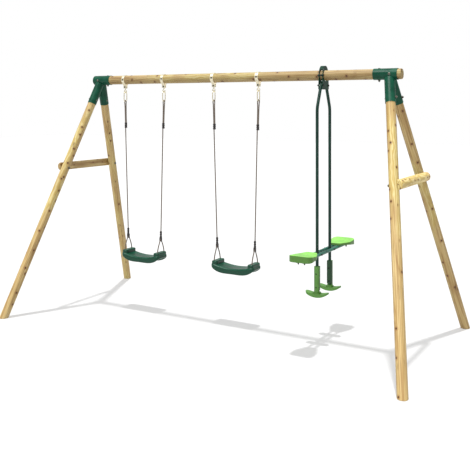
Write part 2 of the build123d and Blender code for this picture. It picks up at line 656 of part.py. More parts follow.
def bar_bolt(face):
    half = BAR_X + BAR_RADIUS + (0.4 if face == BACK else 0.0)
    start = (GLIDER_X + half, face * TUBE_Y, BAR_HEIGHT)
    return hex_bolt(start, (-1, 0, 0), 2 * half, 4.0)


SEAT_INNER, SEAT_OUTER, PAD_HALF = 231.0, 475.0, 97.0
SEAT_BOLT_Y = 430.0
PAD_BOTTOM = 707.0


def pad_outline(grow):
    """Plan of a glider seat: wide at its outer end, with a rounded nose towards the uprights."""
    nose, wide = 46.0 + grow, PAD_HALF + grow
    points = [
        (-nose, SEAT_INNER - grow),
        (nose, SEAT_INNER - grow),
        (wide, SEAT_OUTER - 120),
        (wide, SEAT_OUTER + grow),
        (-wide, SEAT_OUTER + grow),
        (-wide, SEAT_OUTER - 120),
    ]
    face = polygon(points)
    corners = face.vertices()
    face = fillet(corners.filter_by(lambda v: v.Y < SEAT_INNER + 20), 30 + grow)
    face = fillet(face.vertices().filter_by(lambda v: v.Y > SEAT_OUTER - 20), 42 + grow)
    return fillet(face.vertices().filter_by(lambda v: abs(v.Y - SEAT_OUTER + 120) < 1), 80)


def glider_seat(face):
    """Moulded seat, dished and raised at its outer end, with a skirt over the ends of the bars."""
    far, near = SEAT_OUTER + 20, SEAT_INNER - 20
    top = Spline((near, 753), (300, 749), (400, 753), (far, 767))
    under = Spline((far, PAD_BOTTOM), (400, 718), (300, 728), (near, 731.5))
    ends = [Line(top @ 1, under @ 0), Line(under @ 1, top @ 0)]
    side_view = make_face(Wire([top.edge(), ends[0].edge(), under.edge(), ends[1].edge()]))
    body = prism_x(side_view, -150, 150) & Pos(0, 0, 650) * extrude(pad_outline(0), 200)
    body = body.solid()
    body = body.fillet(5, body.faces().sort_by(Axis.Z)[-1].edges())
    # the room for the bars, open below
    for side in (LEFT, RIGHT):
        low, high = sorted((side * (BAR_X - BAR_RADIUS - 1.5), side * (BAR_X + BAR_RADIUS + 0.8)))
        body -= box((low, 0, 600), (high, BAR_END + 1.5, BAR_HEIGHT + BAR_RADIUS + 0.2))
    inner = Pos(0, 0, 650) * extrude(pad_outline(-6), BAR_HEIGHT + BAR_RADIUS - 650 + 0.2)
    body -= inner
    for side in (LEFT, RIGHT):
        body -= rod((side * BAR_X, SEAT_BOLT_Y, 650), (side * BAR_X, SEAT_BOLT_Y, 750), 4.2)
    if face == FRONT:
        body = Rot(0, 0, 180) * body
    return (Pos(GLIDER_X, 0, 0) * body).solid()


def seat_bolts():
    """Studs down from each seat through the bars, each with its washer and nut below."""
    pieces = []
    for face in (FRONT, BACK):
        for side in (LEFT, RIGHT):
            start = (GLIDER_X + side * BAR_X, face * SEAT_BOLT_Y, BAR_HEIGHT - BAR_RADIUS)
            head = Plane(origin=start, z_dir=(0, 0, -1)) * washer_and_head(13, 8, 9)
            pieces.append((head + rod((start[0], start[1], start[2] - 17), (start[0], start[1], 742), 4.0)).solid())
    return pieces


GRIP_BOLTS = (560.0, 452.0)


def footrest_shell(face, outward):
    """Half of a footrest's sleeve on the upright; the outward half also carries the whole foot bar."""
    low = GRIP_LOW - 25 if outward else GRIP_LOW + 20
    sleeve = Pos(0, 0, low) * extrude(RectangleRounded(2 * GRIP_HALF_WIDTH, 44, 15), GRIP_TOP - low)
    kept, edge = sorted((face * 0.1, face * 60)) if outward else sorted((-face * 0.1, -face * 60))
    shape = sleeve & box((-150, kept, 300), (150, edge, 700))
    if outward:
        crescent = make_face(
            Wire(
                [
                    ThreePointArc((-102, 409), (0, 373), (102, 409)).edge(),
                    Line((102, 409), (98, 417)).edge(),
                    ThreePointArc((98, 417), (0, 402), (-98, 417)).edge(),
                    Line((-98, 417), (-102, 409)).edge(),
                ]
            )
        )
        foot = prism_y(crescent, -32, 32)
        foot &= extrude(SlotOverall(198, 63), 700)
        collar = Pos(0, 0, 390) * extrude(RectangleRounded(2 * GRIP_HALF_WIDTH + 14, 58, 20), 22)
        shape = shape + foot + collar
    shape -= Pos(0, 0, GRIP_LOW + 6) * Cylinder(POST_RADIUS + 0.1, 400, align=(Align.CENTER, Align.CENTER, Align.MIN))
    for height in GRIP_BOLTS:
        shape -= rod((0, -40, height), (0, 40, height), 3.3)
    return (Pos(GLIDER_X, face * TUBE_Y, 0) * shape).solid()


def footrest_bolts(face):
    pieces = []
    for height in GRIP_BOLTS:
        start = (GLIDER_X, face * (TUBE_Y + 22), height)
        pieces += through_bolt(start, (0, -face, 0), 44, 3.0, 6.0, 10.0, 2.0)
    return pieces


# ---------------------------------------------------------------- write everything

for side, side_name in ((LEFT, "left"), (RIGHT, "right")):
    export(f"leg_front_{side_name}", leg(side, FRONT))
    export(f"leg_back_{side_name}", leg(side, BACK))
    export(f"corner_bracket_{side_name}", bracket(side))
    export(f"cross_brace_{side_name}", brace(side))
export("beam", beam())
export("bracket_bolts", *bracket_bolts())
export("brace_screws", *brace_screws())
export("hanger_straps", *[hanger_strap(x) for x in HANGERS])
export("strap_screws", *[strap_screw(x) for x in HANGERS])
export("hanger_bolts", *[piece for x in HANGERS for piece in hanger_bolt(x)])
export("hanger_rings", *[hanger_ring(x) for x in HANGERS])

for name, middle in SWINGS.items():
    export(f"{name}_snap_hooks", *[snap_hook(middle + side * HANGER_SPREAD) for side in (LEFT, RIGHT)])
    export(f"{name}_adjusters", *[adjuster(middle, side) for side in (LEFT, RIGHT)])
    export(f"{name}_junctions", *[junction(middle, side) for side in (LEFT, RIGHT)])
    export(f"{name}_seat", swing_seat(middle))
    export(f"{name}_knots", *knots(middle))
    for side, side_name in ((LEFT, "left"), (RIGHT, "right")):
        export(f"{name}_gate_{side_name}", gate(middle + side * HANGER_SPREAD))
        export(f"{name}_rope_{side_name}", rope(main_rope_route(middle, side), f"{name} rope {side_name}"))
        export(f"{name}_seat_rope_{side_name}", rope(seat_rope_route(middle, side), f"{name} seat rope {side_name}"))

export("glider_bracket", glider_bracket())
export("glider_clamp_bolts", *glider_clamp_bolts())
export("glider_clamp_spacers", *clamp_spacers())
export("glider_pivot_bolts", *glider_pivot_bolts())
export("glider_pivot_bushes", *glider_pivot_bushes())
export("glider_seat_bars", *seat_bars())
export("glider_seat_bolts", *seat_bolts())
for face, face_name in ((FRONT, "front"), (BACK, "back")):
    export(f"glider_upright_{face_name}", upright(face))
    export(f"glider_bar_bolt_{face_name}", *bar_bolt(face))
    export(f"glider_seat_{face_name}", glider_seat(face))
    export(f"footrest_outer_{face_name}", footrest_shell(face, True))
    export(f"footrest_inner_{face_name}", footrest_shell(face, False))
    export(f"footrest_bolts_{face_name}", *footrest_bolts(face))
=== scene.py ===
"""Garden swing set: round timber frame, two rope swings and a face-to-face glider."""

import math

import bpy
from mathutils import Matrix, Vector


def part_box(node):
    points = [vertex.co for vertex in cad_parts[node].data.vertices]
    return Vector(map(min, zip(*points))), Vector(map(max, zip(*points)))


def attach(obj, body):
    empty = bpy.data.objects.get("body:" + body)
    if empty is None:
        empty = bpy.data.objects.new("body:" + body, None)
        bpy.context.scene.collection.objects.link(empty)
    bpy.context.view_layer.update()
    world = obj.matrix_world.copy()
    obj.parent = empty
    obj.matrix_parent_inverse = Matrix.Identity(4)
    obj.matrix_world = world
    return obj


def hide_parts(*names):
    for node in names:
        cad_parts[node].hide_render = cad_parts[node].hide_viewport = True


bl_info = {
    "name": "Garden swing set",
    "version": (1, 0, 0),
    "blender": (4, 5, 0),
    "location": "View3D > Sidebar > Swing set",
    "description": "Finishes the timber, steel, ropes and moulded seats of a garden swing set",
    "category": "Object",
}

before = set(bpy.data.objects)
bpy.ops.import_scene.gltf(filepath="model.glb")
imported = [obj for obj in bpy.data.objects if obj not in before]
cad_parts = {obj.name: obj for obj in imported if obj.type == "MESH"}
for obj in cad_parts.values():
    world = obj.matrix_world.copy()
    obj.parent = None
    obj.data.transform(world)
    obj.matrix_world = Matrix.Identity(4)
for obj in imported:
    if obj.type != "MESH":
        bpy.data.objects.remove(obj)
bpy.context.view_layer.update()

BEAM_HEIGHT = 2.160
LEG_TOP_X, FOOT_X, FOOT_Y = 1.455, 1.836, 0.8885
POLE_RADIUS = 0.039
SWINGS = {"swing_1": -0.931, "swing_2": 0.066}
HANGER_SPREAD, SEAT_SPREAD = 0.226, 0.190
HOOK_BOTTOM, SEAT_PIVOT = 1.953, 0.656
HOLE_SPREAD = 0.054
SIDES = (("left", -1), ("right", 1))
FACES = ("front", "back")

# painted light and shade: each pole is made paler or darker by its own factor, after how lit or shaded it
# stands
BEAM_PAINTED_SHADE = 0.66
LEG_PAINTED_LIGHT_AND_SHADE = {"leg_front_left": 0.9, "leg_back_left": 0.95, "leg_front_right": 0.97, "leg_back_right": 0.84}
BRACE_PAINTED_LIGHT_AND_SHADE = {"left": 0.86, "right": 1.12}
# places with a random value above this bear no knot, so about seven in ten do
KNOTTY = 0.7

# heights on a main rope: its lower end, the adjuster's lower end, and where its two strands part
ROPE_LOW, ADJUSTER_LOW, STRANDS_PART = 0.712, 1.700, 1.908
# each main rope's route: metres to the right of the rope's line there, and height
MAIN_ROUTE = (
    (0.0, 0.712),
    (-0.00515, 1.696),
    (-0.00515, 1.908),
    (-0.0101, 1.9572),
    (-0.0042, 1.9631),
    (0.0042, 1.9631),
    (0.0101, 1.9572),
    (0.00515, 1.908),
    (0.00515, 1.710),
)
# each seat rope's route: back from the middle, and height
SEAT_ROUTE = (
    (-0.054, 0.506),
    (-0.054, 0.568),
    (-0.0074, 0.6640),
    (0.0, 0.6668),
    (0.0074, 0.6640),
    (0.054, 0.568),
    (0.054, 0.506),
)

# the rope in a knot lies on a closed line with three lobes
KNOT_HEIGHT, KNOT_POINTS, KNOT_ROPE = 0.497, 24, 0.085
KNOT_RADIUS, KNOT_SWAY, KNOT_RISE, KNOT_SQUEEZE = 0.0062, 0.0034, 0.0042, 0.82

FLOOR_SIZE, FLOOR_DROP = 60, 0.0005
# name, strength, spread in degrees, direction, and whether it casts shadows
LIGHTS = (
    ("softbox_front", 3.2, 40, (0.12, 0.50, -0.86), False),
    ("softbox_overhead", 2.5, 2.5, (0.01, -0.02, -1.0), True),
)
BACKDROP_GIVEN, BACKDROP_SEEN = 0.55, 1.0
LENS, SENSOR, LENS_SHIFT, FARTHEST = 56.41, 36.0, -0.2745, 200
CAMERA_PLACE, CAMERA_HEADING = (3.2962, -5.5923, 1.91), 30.07


# ---------------------------------------------------------------- settings


class SwingSetTimber(bpy.types.PropertyGroup):
    heartwood: bpy.props.StringProperty(
        name="Timber", description="Main colour of the oiled pine", default="#bda26a"
    )
    latewood: bpy.props.StringProperty(
        name="Grain", description="Colour of the late wood lines", default="#9a7743"
    )
    knot: bpy.props.StringProperty(
        name="Knot", description="Colour of the heart of a knot", default="#4a2a0e"
    )
    knot_spacing: bpy.props.FloatProperty(
        name="Knot spacing", description="Usual distance between knots", default=0.098, unit="LENGTH"
    )


class SwingSetSteel(bpy.types.PropertyGroup):
    bracket: bpy.props.StringProperty(
        name="Bracket", description="Powder coat of the brackets", default="#0a4431"
    )
    upright: bpy.props.StringProperty(
        name="Upright", description="Powder coat of the glider's uprights", default="#15332a"
    )
    bars: bpy.props.StringProperty(
        name="Seat bars", description="Powder coat of the glider's seat bars", default="#2b5f50"
    )
    zinc: bpy.props.StringProperty(
        name="Zinc", description="Bright zinc of the straps and hooks", default="#ece3c8"
    )


class SwingSetRope(bpy.types.PropertyGroup):
    light: bpy.props.StringProperty(
        name="Light yarn", description="Paler yarn of the braid", default="#6a5a49"
    )
    dark: bpy.props.StringProperty(
        name="Dark yarn", description="Darker yarn of the braid", default="#3c3025"
    )
    thickness: bpy.props.FloatProperty(
        name="Thickness", description="Diameter of the rope", default=0.010, min=0.004, unit="LENGTH"
    )
    pick: bpy.props.FloatProperty(
        name="Pick", description="Length of one yarn crossing", default=0.009, unit="LENGTH"
    )


class SwingSetPlastic(bpy.types.PropertyGroup):
    swing_seat: bpy.props.StringProperty(
        name="Swing seat", description="Dark green of the seats", default="#0b4632"
    )
    glider_seat: bpy.props.StringProperty(
        name="Glider seat", description="Lime of the glider's seats", default="#7ebd56"
    )
    black: bpy.props.StringProperty(name="Clamps", description="Black of the rope clamps", default="#241f1e")


GROUPS = {
    "swingset_timber": SwingSetTimber,
    "swingset_steel": SwingSetSteel,
    "swingset_rope": SwingSetRope,
    "swingset_plastic": SwingSetPlastic,
}


# ---------------------------------------------------------------- materials


def colour(code):
    """Turn an sRGB hex code to linear values."""
    channels = [int(code[k : k + 2], 16) / 255 for k in (1, 3, 5)]
    linear = [c / 12.92 if c <= 0.04045 else ((c + 0.055) / 1.055) ** 2.4 for c in channels]
    return (*linear, 1.0)


def toned(code, tone):
    """A colour made lighter or darker by a factor."""
    return tuple(min(1.0, channel * tone) for channel in colour(code)[:3]) + (1.0,)


def add(tree, kind, links=None, **settings):
    """Add a node, with its settings, and its sockets set or linked."""
    made = tree.nodes.new(kind)
    for name, value in settings.items():
        setattr(made, name, value)
    for name, value in (links or {}).items():
        socket = made.inputs[name]
        if isinstance(value, bpy.types.NodeSocket):
            tree.links.new(value, socket)
        else:
            socket.default_value = value
    return made


def start_material(name, **sockets):
    """New material, its node tree and its surface shader, with the shader's sockets set."""
    material = bpy.data.materials.new(name)
    material.use_nodes = True
    tree = material.node_tree
    shader = tree.nodes["Principled BSDF"]
    for socket, value in sockets.items():
        shader.inputs[socket.replace("_", " ")].default_value = value
    return material, tree, shader


def own_place(tree):
    """The object's own coordinates."""
    return add(tree, "ShaderNodeTexCoord").outputs["Object"]


def noise(tree, place, scale, detail=2.0, **more):
    """Noise over some coordinates."""
    links = {"Vector": place, "Scale": scale, "Detail": detail, **more}
    return add(tree, "ShaderNodeTexNoise", links).outputs["Fac"]


def drawn_out(tree, place, scale, move=(0, 0, 0)):
    """Coordinates scaled along their third axis, and moved."""
    links = {"Vector": place, "Scale": (1.0, 1.0, scale), "Location": move}
    return add(tree, "ShaderNodeMapping", links).outputs[0]


def ramp(tree, factor, stops, tone=1.0):
    """Colour ramp over a factor; stops are (position, hex code)."""
    made = add(tree, "ShaderNodeValToRGB", {0: factor})
    band = made.color_ramp
    while len(band.elements) < len(stops):
        band.elements.new(0.5)
    for element, (place, code) in zip(band.elements, stops):
        element.position = place
        element.color = toned(code, tone)
    return made.outputs[0]


def curve_between(tree, value, low, high, start=0.0, stop=1.0):
    """Map a value from one range to another, held at both ends."""
    made = add(
        tree,
        "ShaderNodeMapRange",
        {"Value": value, "From Min": low, "From Max": high, "To Min": start, "To Max": stop},
        interpolation_type="SMOOTHSTEP",
    )
    return made.outputs[0]


def maths(tree, operation, a, b=0.0):
    return add(tree, "ShaderNodeMath", {0: a, 1: b}, operation=operation).outputs[0]


def mix(tree, factor, a, b, blend="MIX"):
    made = add(tree, "ShaderNodeMix", data_type="RGBA", blend_type=blend)
    for socket, value in (("Factor_Float", factor), ("A_Color", a), ("B_Color", b)):
        target = next(s for s in made.inputs if s.identifier == socket)
        if isinstance(value, bpy.types.NodeSocket):
            tree.links.new(value, target)
        else:
            target.default_value = value
    return next(s for s in made.outputs if s.identifier == "Result_Color")


def laid_over(tree, base, top, where, share):
    """One colour laid over another, by a share of a factor."""
    return mix(tree, maths(tree, "MULTIPLY", where, share), base, top)


def finish_surface(tree, shader, tint, height, strength, distance):
    """Link a material's colour and its bump."""
    tree.links.new(tint, shader.inputs["Base Color"])
    links = {"Height": height, "Strength": strength, "Distance": distance}
    tree.links.new(add(tree, "ShaderNodeBump", links).outputs[0], shader.inputs["Normal"])


def roughen(tree, shader, factor, low, high):
    """Vary the roughness between two values."""
    tree.links.new(curve_between(tree, factor, 0.3, 0.7, low, high), shader.inputs["Roughness"])


def pine(name, start, along, seed, tone=1.0):
    """Machine-rounded pine pole, oiled: honey-coloured, with late wood lines, flames and brown knots."""
    # tone is this pole's factor of painted light and shade, applied to all of its colours
    wood = bpy.context.scene.swingset_timber
    material, tree, shader = start_material(name, Roughness=0.58, IOR=1.5)
    turn = Vector(along).normalized().rotation_difference(Vector((0, 0, 1)))
    move = -(turn @ Vector(start))
    links = {"Vector": own_place(tree), "Rotation": turn.to_euler(), "Location": move}
    pole = add(tree, "ShaderNodeMapping", links).outputs[0]
    axes = add(tree, "ShaderNodeSeparateXYZ", {0: pole}).outputs
    # distance round the pole, with its seam at the back
    angle = maths(tree, "ARCTAN2", axes["X"], maths(tree, "MULTIPLY", axes["Y"], -1.0))
    around = maths(tree, "MULTIPLY", angle, POLE_RADIUS)
    # knots stand about a hand's width apart
    shifted = maths(tree, "ADD", axes["Z"], seed * 3.7)
    skin = add(tree, "ShaderNodeCombineXYZ", {"X": around, "Y": shifted}).outputs[0]
    links = {"Vector": skin, "Scale": 1 / wood.knot_spacing}
    knots = add(tree, "ShaderNodeTexVoronoi", links, voronoi_dimensions="2D").outputs
    wobble = maths(tree, "SUBTRACT", noise(tree, pole, 60.0), 0.5)
    reach = maths(tree, "ADD", knots["Distance"], maths(tree, "MULTIPLY", wobble, 0.05))
    bears = add(tree, "ShaderNodeSeparateColor", {0: knots["Color"]}).outputs["Red"]
    reach = maths(tree, "ADD", reach, maths(tree, "GREATER_THAN", bears, KNOTTY))
    heart = curve_between(tree, reach, 0.055, 0.1, 1.0, 0.0)
    ring = curve_between(tree, reach, 0.09, 0.24, 1.0, 0.0)
    # late wood lines run with the pole and bow out round the knots
    lengthwise = drawn_out(tree, pole, 0.055, (seed, seed * 0.3, 0))
    coarse = noise(tree, lengthwise, 52.0, 3.0, Roughness=0.55, Distortion=0.6)
    links = {"Vector": lengthwise, "Scale": 26.0, "Distortion": 7.0, "Detail": 2.0, "Detail Scale": 1.4}
    links["Phase Offset"] = maths(tree, "MULTIPLY", ring, 0.35)
    lines = add(tree, "ShaderNodeTexWave", links, wave_type="RINGS", rings_direction="Z").outputs["Fac"]
    hairs = noise(tree, drawn_out(tree, pole, 0.02), 420.0, 3.0)
    stops = ((0.32, wood.latewood), (0.5, wood.heartwood), (0.72, "#cfb884"))
    tint = ramp(tree, coarse, stops, tone)
    dark_lines = curve_between(tree, lines, 0.5, 0.95)
    tint = laid_over(tree, tint, toned(wood.latewood, tone * 0.9), dark_lines, 0.62)
    # in places the saw has cut across the rings, so they show as flames, paler and greener from the treatment
    links = {"Vector": drawn_out(tree, pole, 0.3, (0, seed, 0)), "Scale": 17.0, "Distortion": 11.0}
    links.update({"Detail": 2.0, "Detail Scale": 1.1})
    flames = add(tree, "ShaderNodeTexWave", links).outputs["Fac"]
    treated = noise(tree, drawn_out(tree, pole, 0.3, (seed, 0, seed)), 4.5)
    pale = ramp(tree, flames, ((0.25, "#b9a158"), (0.6, "#c9b878"), (0.95, "#d3c48a")), tone)
    tint = laid_over(tree, tint, pale, curve_between(tree, treated, 0.5, 0.6), 0.8)
    tint = laid_over(tree, tint, toned("#80633a", tone), curve_between(tree, hairs, 0.5, 0.75), 0.3)
    broad = curve_between(tree, noise(tree, pole, 3.1), 0.45, 0.7)
    tint = laid_over(tree, tint, toned("#a3824d", tone), broad, 0.3)
    tint = laid_over(tree, tint, toned("#8a5c2e", tone), ring, 0.55)
    tint = mix(tree, heart, tint, colour(wood.knot))
    # drying checks: short fine cracks along the grain
    links = {"Vector": drawn_out(tree, pole, 0.035, (0, seed * 2.0, 0)), "Scale": 44.0}
    split = add(tree, "ShaderNodeTexVoronoi", links, feature="DISTANCE_TO_EDGE").outputs[0]
    crack = curve_between(tree, split, 0.0, 0.035, 1.0, 0.0)
    crack = maths(tree, "MULTIPLY", crack, curve_between(tree, noise(tree, pole, 5.0, 1.0), 0.56, 0.64))
    tint = laid_over(tree, tint, colour("#5b3c1c"), crack, 0.75)
    roughen(tree, shader, hairs, 0.5, 0.68)
    sunk = maths(tree, "ADD", crack, maths(tree, "MULTIPLY", heart, 0.4))
    height = maths(tree, "SUBTRACT", maths(tree, "MULTIPLY", hairs, 0.3), sunk)
    finish_surface(tree, shader, tint, height, 0.35, 0.0012)
    return material


def powder_coat(name, code, roughness=0.32):
    """Polyester powder coat on steel: an even colour with a glossy, faintly pebbled skin."""
    material, tree, shader = start_material(name, Roughness=roughness, IOR=1.5, Specular_IOR_Level=0.2)
    place = own_place(tree)
    cloud = noise(tree, place, 14.0, 4.0)
    pale = toned(code, 1.22)
    tint = mix(tree, curve_between(tree, cloud, 0.3, 0.7), toned(code, 0.78), pale)
    dust = curve_between(tree, noise(tree, place, 160.0), 0.66, 0.8)
    tint = laid_over(tree, tint, pale, dust, 0.3)
    roughen(tree, shader, cloud, roughness - 0.06, roughness + 0.1)
    # the pebbling of the coat is about 2 mm across
    finish_surface(tree, shader, tint, noise(tree, place, 500.0, 1.0), 0.12, 0.0004)
    return material


def zinc_plate(name, code, roughness=0.36):
    """Electroplated zinc on steel: pale, slightly yellow metal, cloudy where it has been handled."""
    material, tree, shader = start_material(name, Metallic=0.85, Roughness=roughness)
    place = own_place(tree)
    cloud = noise(tree, place, 90.0, 5.0)
    tint = mix(tree, curve_between(tree, cloud, 0.35, 0.72), colour(code), toned(code, 0.72))
    roughen(tree, shader, cloud, roughness - 0.08, roughness + 0.14)
    scratch = noise(tree, drawn_out(tree, place, 12.0), 130.0, 3.0)
    finish_surface(tree, shader, tint, scratch, 0.1, 0.0003)
    return material


def moulded(name, code, roughness=0.38, worn=0.25, glow=0.05, painted_wall_shade_tone=1.0):
    """Blow-moulded polyethylene: waxy, with light passing a little way in and a fine sparked grain."""
    material, tree, shader = start_material(name, Roughness=roughness, IOR=1.51, Specular_IOR_Level=0.3)
    shader.inputs["Subsurface Weight"].default_value = glow
    shader.inputs["Subsurface Radius"].default_value = (0.004, 0.006, 0.003)
    place = own_place(tree)
    rubbed = tuple(min(1.0, c * 1.2 + 0.02) for c in colour(code)[:3]) + (1.0,)
    flow = noise(tree, place, 9.0, 3.0, Distortion=0.8)
    tint = mix(tree, curve_between(tree, flow, 0.3, 0.7), toned(code, 0.8), colour(code))
    # the moulding's edges and high places are rubbed a little paler
    edge = add(tree, "ShaderNodeNewGeometry").outputs["Pointiness"]
    tint = laid_over(tree, tint, rubbed, curve_between(tree, edge, 0.5, 0.56), worn)
    if painted_wall_shade_tone < 1.0:
        # painted shade: upright walls are drawn darker than the top, as if the light fell only from above
        normal = add(tree, "ShaderNodeTexCoord").outputs["Normal"]
        facing = add(tree, "ShaderNodeSeparateXYZ", {0: normal}).outputs["Z"]
        painted_wall_shade_mask = curve_between(tree, facing, 0.1, 0.9, 1.0, 0.0)
        tint = mix(tree, painted_wall_shade_mask, tint, toned(code, painted_wall_shade_tone))
    roughen(tree, shader, flow, roughness - 0.06, roughness + 0.08)
    finish_surface(tree, shader, tint, noise(tree, place, 700.0), 0.18, 0.0003)
    return material


def braid(name, length):
    """Braided polyester rope: two yarn tones crossing each other, matt, with a soft sheen."""
    rope = bpy.context.scene.swingset_rope
    material, tree, shader = start_material(name, Roughness=0.82)
    shader.inputs["Sheen Weight"].default_value = 0.25
    # the braid follows the rope: U along it and V round it
    run = add(tree, "ShaderNodeUVMap", uv_map="UVMap").outputs[0]
    axes = add(tree, "ShaderNodeSeparateXYZ", {0: run}).outputs
    along = maths(tree, "MULTIPLY", axes["X"], math.tau * length / (2 * rope.pick))
    around = maths(tree, "MULTIPLY", axes["Y"], math.tau * 4)
    one = maths(tree, "SINE", maths(tree, "ADD", along, around))
    other = maths(tree, "SINE", maths(tree, "SUBTRACT", along, around))
    yarn = maths(tree, "MAXIMUM", one, other)
    over = curve_between(tree, maths(tree, "SUBTRACT", one, other), -0.5, 0.5)
    tint = mix(tree, over, colour(rope.light), colour(rope.dark))
    # painted shade: the gaps between the yarns are drawn dark brown
    yarn_gap_shade = curve_between(tree, yarn, 0.0, 0.6, 0.75, 0.0)
    tint = mix(tree, yarn_gap_shade, tint, colour("#2f2620"))
    fuzz = noise(tree, own_place(tree), 900.0)
    tint = laid_over(tree, tint, colour("#b5a596"), fuzz, 0.25)
    height = maths(tree, "ADD", yarn, maths(tree, "MULTIPLY", fuzz, 0.2))
    finish_surface(tree, shader, tint, height, 0.7, 0.0009)
    return material


def finish_node(node, material):
    """Give a CAD node one material."""
    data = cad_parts[node].data
    data.materials.clear()
    data.materials.append(material)


# ---------------------------------------------------------------- modelling helpers


def deselect():
    if bpy.context.object and bpy.context.object.mode != "OBJECT":
        bpy.ops.object.mode_set(mode="OBJECT")
    bpy.ops.object.select_all(action="DESELECT")


def pick(obj):
    """Make one object the only selected one."""
    deselect()
    obj.select_set(True)
    bpy.context.view_layer.objects.active = obj
    return obj


def name_it(obj, name):
    obj.name = name
    obj.data.name = name
    return obj


def settle(obj):
    """Put an object's place into its mesh."""
    pick(obj)
    bpy.ops.object.transform_apply(location=True, rotation=True, scale=True)
    return obj


def join(parts, name):
    deselect()
    for part in parts:
        part.select_set(True)
    bpy.context.view_layer.objects.active = parts[0]
    bpy.ops.object.join()
    return name_it(bpy.context.object, name)


# ---------------------------------------------------------------- operators


class SWINGSET_OT_timber(bpy.types.Operator):
    """Give every pole its grain, knots and drying checks, running along that pole"""

    bl_idname = "swingset.timber"
    bl_label = "Timber"

    def execute(self, context):
        finish_node("beam", pine("pine_beam", (0, 0, BEAM_HEIGHT), (1, 0, 0.0), 1.3, BEAM_PAINTED_SHADE))
        seed = 2.0
        for side_name, side in SIDES:
            for face_name, face in zip(FACES, (-1, 1)):
                along = (side * (FOOT_X - LEG_TOP_X), face * FOOT_Y, -BEAM_HEIGHT)
                start = (side * LEG_TOP_X, 0, BEAM_HEIGHT)
                name = f"leg_{face_name}_{side_name}"
                finish_node(name, pine(f"pine_{name}", start, along, seed, LEG_PAINTED_LIGHT_AND_SHADE[name]))
                seed += 1.37
            name = f"cross_brace_{side_name}"
            middle = [(a + b) / 2 for a, b in zip(*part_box(name))]
            rail = pine(f"pine_brace_{side_name}", middle, (0, 1, 0), seed, BRACE_PAINTED_LIGHT_AND_SHADE[side_name])
            finish_node(name, rail)
            seed += 1.1
        return {"FINISHED"}


class SWINGSET_OT_steel(bpy.types.Operator):
    """Coat or plate every steel part"""

    bl_idname = "swingset.steel"
    bl_label = "Steel"

    def execute(self, context):
        steel = context.scene.swingset_steel
        bracket = powder_coat("powder_coat_green", steel.bracket)
        upright = powder_coat("powder_coat_dark", steel.upright, 0.26)
        bars = powder_coat("powder_coat_teal", steel.bars, 0.3)
        zinc = zinc_plate("zinc_bright", steel.zinc)
        bolt = zinc_plate("zinc_bolt", "#6b695f", 0.42)
        black = powder_coat("black_oxide", "#1d1d1c", 0.4)
        for side_name, _ in SIDES:
            finish_node(f"corner_bracket_{side_name}", bracket)
        finish_node("glider_bracket", powder_coat("powder_coat_forest", "#0a3325"))
        for face in FACES:
            finish_node(f"glider_upright_{face}", upright)
            finish_node(f"glider_bar_bolt_{face}", black)
            finish_node(f"footrest_bolts_{face}", black)
        finish_node("glider_seat_bars", bars)
        for node in ("hanger_straps", "hanger_rings"):
            finish_node(node, zinc)
        for node in ("bracket_bolts", "brace_screws"):
            finish_node(node, bolt)
        for node in ("glider_pivot_bolts", "hanger_bolts", "strap_screws"):
            finish_node(node, black)
        for node in ("glider_seat_bolts", "glider_clamp_bolts", "glider_clamp_spacers"):
            finish_node(node, black)
        finish_node("glider_pivot_bushes", moulded("nylon_natural", "#c9c8bf", 0.45))
        for swing in SWINGS:
            finish_node(f"{swing}_snap_hooks", zinc)
            for side_name, _ in SIDES:
                finish_node(f"{swing}_gate_{side_name}", zinc)
        return {"FINISHED"}


def rope_line(middle, side, height):
    """The rope leans in towards the seat: its X at a height."""
    share = (HOOK_BOTTOM - height) / (HOOK_BOTTOM - SEAT_PIVOT)
    return middle + side * (HANGER_SPREAD - share * (HANGER_SPREAD - SEAT_SPREAD))


def rope_curve(name, points, thickness, closed=False):
    """Round rope on one smooth line."""
    data = bpy.data.curves.new(name, "CURVE")
    data.dimensions = "3D"
    spline = data.splines.new("NURBS")
    spline.points.add(len(points) - 1)
    for point, place in zip(spline.points, points):
        point.co = (*place, 1.0)
    spline.order_u = 3
    spline.use_endpoint_u = not closed
    spline.use_cyclic_u = closed
    spline.resolution_u = 6 if closed else 24
    data.bevel_depth = thickness / 2
    data.bevel_resolution = 5
    data.use_fill_caps = True
    obj = bpy.data.objects.new(name, data)
    bpy.context.scene.collection.objects.link(obj)
    return obj


def line_of(curve_object):
    """Points of the rope's own smooth line."""
    data = curve_object.data
    depth, data.bevel_depth = data.bevel_depth, 0.0
    bpy.context.view_layer.update()
    mesh = bpy.data.meshes.new_from_object(curve_object)
    points = [tuple(v.co) for v in mesh.vertices]
    data.bevel_depth = depth
    bpy.data.meshes.remove(mesh)
    return points


def length_of(points):
    return sum((Vector(b) - Vector(a)).length for a, b in zip(points, points[1:]))


